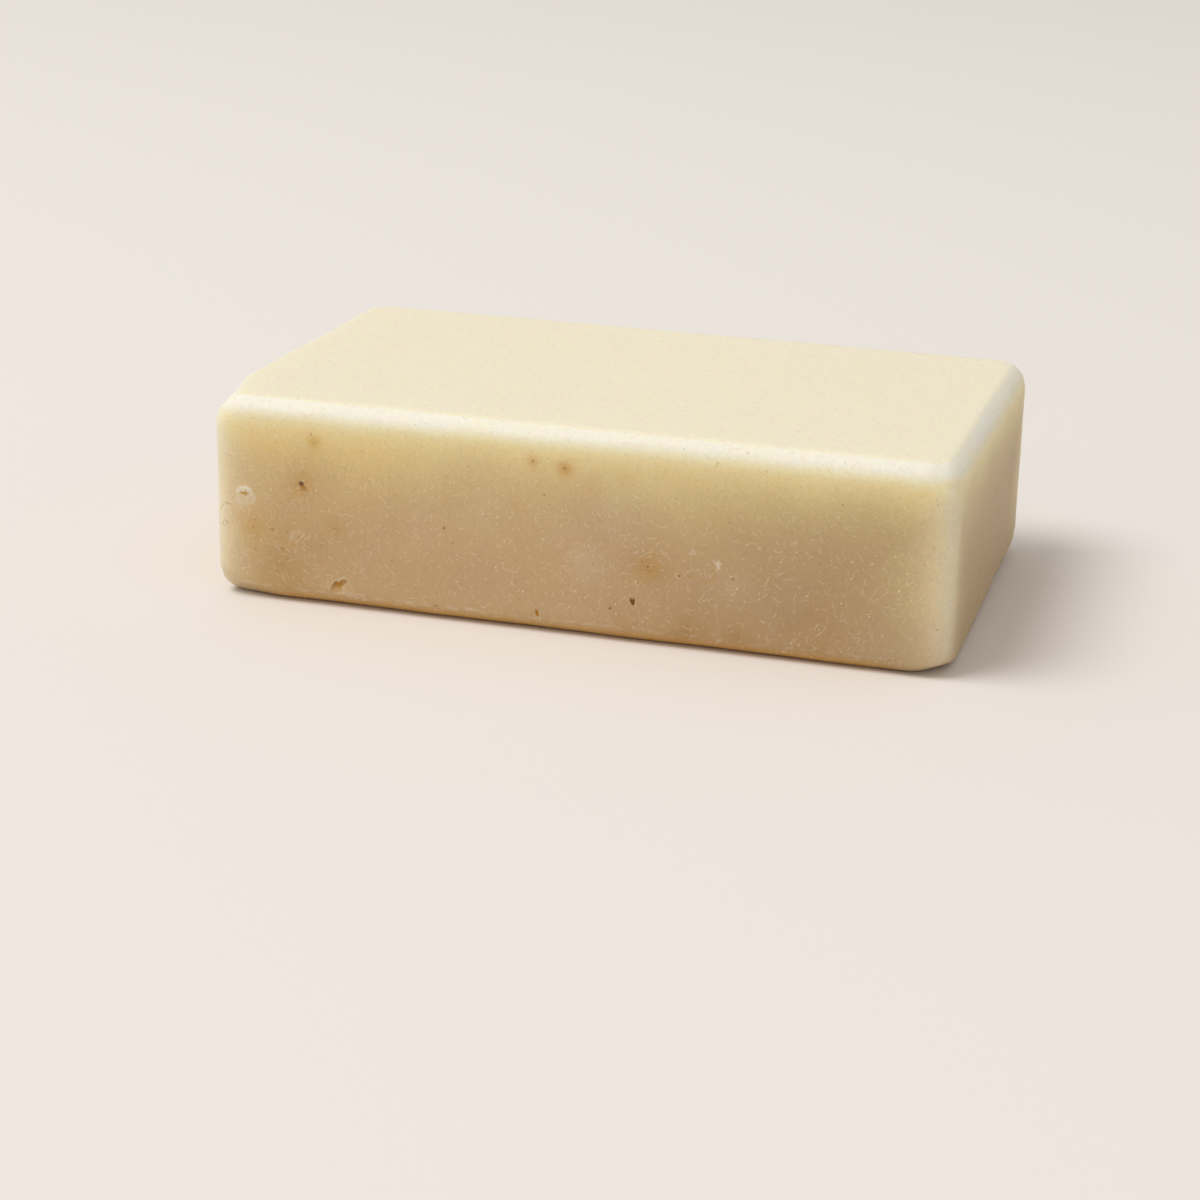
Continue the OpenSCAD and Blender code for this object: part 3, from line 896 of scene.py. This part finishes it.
class SoapFinish(bpy.types.PropertyGroup):
    """Colours and sheen of the soap."""

    tan: colour_property("Tan", "Colour inside a side face", (0.655, 0.450, 0.24, 1))
    warm: colour_property("Warm", "Colour of the pinker clouds", (0.62, 0.435, 0.26, 1))
    # Yellow is the painted glow under the rims.
    yellow: colour_property("Yellow", "Colour towards the rims", (1.0, 0.86, 0.43, 1))
    # Top is partly the top's own colour, partly painted light.
    top: colour_property("Top", "Colour of the top", (0.93, 0.835, 0.625, 1))
    # Under is the colour of the painted shade and warm reflected light on the bottom bevels.
    under: colour_property("Under", "Colour of the bottom bevels and the base", (0.76, 0.41, 0.09, 1))
    # Right shade is the painted shade towards the right end.
    right_shade: FloatProperty(name="Right shade", description="How light the right end stays",
                               default=0.86)
    # Cream is laid on the dried edges and on the painted light along the rims.
    cream: colour_property("Cream", "Colour of the dry edges", (0.925, 0.87, 0.755, 1))
    pale: colour_property("Pale", "Colour of rubbed and crumbled soap", (0.93, 0.86, 0.74, 1))
    # Sunk is the hollows' inner colour and their painted shade.
    sunk: colour_property("Sunk", "Colour inside chips", (0.62, 0.33, 0.015, 1))
    halo: colour_property("Halo", "Stain round a fleck", (0.62, 0.29, 0.01, 1))
    brown: colour_property("Brown", "Brown specks", (0.20, 0.078, 0.0, 1))
    golden: colour_property("Golden", "Golden brown specks", (0.46, 0.19, 0.0, 1))
    grey: colour_property("Grey", "Grey-brown specks", (0.19, 0.075, 0.03, 1))
    orange: colour_property("Orange", "Orange-brown specks", (0.48, 0.21, 0.012, 1))
    # Cloud is the colour of the brown clouds and of the painted shade along the bottom edge.
    cloud_and_shade: colour_property("Cloud", "Brown clouds within the soap", (0.44, 0.225, 0.04, 1))
    # Golden rim is the painted glow near the left end's rims.
    golden_rim: colour_property("Golden rim", "Colour towards the left end's rims", (1.0, 0.815, 0.34, 1))
    dots: colour_property("Dots", "Light dots and strokes", (0.95, 0.86, 0.66, 1))
    fibre_strength: FloatProperty(name="Fibres", description="How strongly the fibre strokes show",
                                  default=0.33)
    roughness: FloatProperty(name="Roughness", description="Mean roughness of the waxy surface",
                             default=0.50)
    translucency: FloatProperty(name="Translucency", description="Share of light that enters the soap",
                                default=0.65)
    depth: FloatProperty(name="Depth", description="How far light travels in the soap", default=0.0048,
                         unit="LENGTH")


class SoapStage(bpy.types.PropertyGroup):
    """Floor, lamps and camera."""

    floor: colour_property("Floor", "Colour of the floor as it lights the bar", (0.72, 0.665, 0.60, 1))
    seen_floor: colour_property("Seen floor", "Colour of the floor where it is seen, also in reflections",
                                (0.88, 0.825, 0.775, 1))
    sky: colour_property("Sky", "Colour of the soft light all round", (1.0, 0.985, 0.96, 1))
    sky_strength: FloatProperty(name="Sky strength", description="Strength of the light all round",
                                default=0.53)
    key_power: FloatProperty(name="Key power", description="Power of the large lamp above", default=31.0,
                             subtype="POWER")
    key_size: FloatProperty(name="Key size", description="Width of the large lamp",
                            default=1.4, unit="LENGTH")
    key_place: FloatVectorProperty(name="Key place", description="Where the large lamp hangs",
                                   subtype="TRANSLATION", default=(-1.0, -0.6, 2.1))
    azimuth: FloatProperty(name="Azimuth", description="Camera's turn to the right of the front",
                           unit="ROTATION", default=math.radians(16.6))
    elevation: FloatProperty(name="Elevation", description="Camera's height angle", unit="ROTATION",
                             default=math.radians(19.4))
    roll: FloatProperty(name="Roll", description="Camera's tilt to the side", unit="ROTATION",
                        default=math.radians(1.05))
    distance: FloatProperty(name="Distance", description="From the camera to its aim",
                            unit="LENGTH", default=0.3657)
    aim: FloatVectorProperty(name="Aim", description="Point that the camera looks at",
                             subtype="TRANSLATION", default=(-0.0022, -0.0068, -0.0026))
    lens: FloatProperty(name="Lens", description="Focal length on a 36 mm sensor",
                        default=79.2, unit="CAMERA")


class SOAP_OT_bar(bpy.types.Operator):
    """Build the worn bar of soap in place of its plain solid"""

    bl_idname = "soap.bar"
    bl_label = "Bar of soap"

    def execute(self, context):
        bar = make_bar(context.scene.soap_shape)
        bar.data.materials.append(soap_material(context.scene.soap_finish))
        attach(bar, BODY)
        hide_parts(BAR_NODE)
        return {"FINISHED"}


def floor_material(stage):
    """A matt floor: one colour where it is seen, also in reflections, one where it lights the bar."""
    material = bpy.data.materials.new("pale floor")
    material.use_nodes = True
    nodes = Nodes(material.node_tree)
    path = nodes.tree.nodes.new("ShaderNodeLightPath").outputs
    reflected = nodes.math("MAXIMUM", path["Is Glossy Ray"], path["Is Transmission Ray"])
    seen = nodes.math("MAXIMUM", path["Is Camera Ray"], reflected)
    shader = nodes.tree.nodes.new("ShaderNodeBsdfPrincipled")
    nodes.link(nodes.mix(seen, stage.floor[:], stage.seen_floor[:]), shader.inputs["Base Color"])
    shader.inputs["Roughness"].default_value = 0.8
    shader.inputs["Specular IOR Level"].default_value = 0.2
    output = nodes.tree.nodes.new("ShaderNodeOutputMaterial")
    nodes.link(shader.outputs[0], output.inputs["Surface"])
    return material


def make_floor(stage):
    """A wide plain floor at the height of the bar's base."""
    bm = bmesh.new()
    bmesh.ops.create_grid(bm, x_segments=1, y_segments=1, size=6.0)
    bmesh.ops.translate(bm, vec=(0, 0, LOW.z * MM), verts=bm.verts)
    mesh = bpy.data.meshes.new("floor")
    bm.to_mesh(mesh)
    bm.free()
    floor = bpy.data.objects.new("floor", mesh)
    bpy.context.scene.collection.objects.link(floor)
    mesh.materials.append(floor_material(stage))


def make_lamp(name, place, aim, size, power):
    light = bpy.data.lights.new(name, "AREA")
    light.shape = "DISK"
    light.size = size
    light.energy = power
    lamp = bpy.data.objects.new(name, light)
    lamp.location = place
    lamp.rotation_euler = (Vector(aim) - Vector(place)).to_track_quat("-Z", "Y").to_euler()
    bpy.context.scene.collection.objects.link(lamp)


def make_world(stage):
    world = bpy.data.worlds.new("soft light")
    world.use_nodes = True
    background = world.node_tree.nodes["Background"]
    background.inputs["Color"].default_value = stage.sky[:]
    background.inputs["Strength"].default_value = stage.sky_strength
    bpy.context.scene.world = world


def make_camera(stage):
    """The camera at the photograph's angle and distance."""
    turn = Matrix.Rotation(stage.azimuth, 3, "Z")
    back = turn @ Vector((0, -math.cos(stage.elevation), math.sin(stage.elevation)))
    data = bpy.data.cameras.new("camera")
    data.sensor_width = 36.0
    data.lens = stage.lens
    data.clip_start = 0.01
    camera = bpy.data.objects.new("camera", data)
    level = (-back).to_track_quat("-Z", "Y").to_matrix()
    rolled = level @ Matrix.Rotation(stage.roll, 3, "Z")
    camera.matrix_world = Matrix.Translation(Vector(stage.aim) + back * stage.distance) @ rolled.to_4x4()
    bpy.context.scene.collection.objects.link(camera)
    bpy.context.scene.camera = camera


class SOAP_OT_stage(bpy.types.Operator):
    """Set up the plain floor, the soft light and the camera"""

    bl_idname = "soap.stage"
    bl_label = "Stage"

    def execute(self, context):
        stage = context.scene.soap_stage
        make_camera(stage)
        make_world(stage)
        make_floor(stage)
        make_lamp("key lamp", stage.key_place, (0, 0, 0.01), stage.key_size, stage.key_power)
        context.scene.view_settings.view_transform = "Standard"
        return {"FINISHED"}


# Each operator with the groups of settings that it uses
PANEL_ROWS = (("soap.bar", ("soap_shape", "soap_finish")), ("soap.stage", ("soap_stage",)))


class SOAP_PT_panel(bpy.types.Panel):
    """Lists the bar and its stage"""

    bl_idname = "SOAP_PT_panel"
    bl_label = "Soap"
    bl_space_type = "VIEW_3D"
    bl_region_type = "UI"
    bl_category = "Soap"

    def draw(self, context):
        layout = self.layout
        for operator, groups in PANEL_ROWS:
            layout.operator(operator)
            for group in groups:
                settings = getattr(context.scene, group)
                for name in settings.__annotations__:
                    layout.prop(settings, name)


CLASSES = (SoapShape, SoapFinish, SoapStage, SOAP_OT_bar, SOAP_OT_stage, SOAP_PT_panel)
GROUPS = {"soap_shape": SoapShape, "soap_finish": SoapFinish, "soap_stage": SoapStage}


def register():
    for cls in CLASSES:
        bpy.utils.register_class(cls)
    for name, group in GROUPS.items():
        setattr(bpy.types.Scene, name, PointerProperty(type=group))


def unregister():
    for name in GROUPS:
        delattr(bpy.types.Scene, name)
    for cls in reversed(CLASSES):
        bpy.utils.unregister_class(cls)


def main():
    register()
    bpy.ops.soap.bar()
    bpy.ops.soap.stage()


if __name__ == "__main__":
    main()
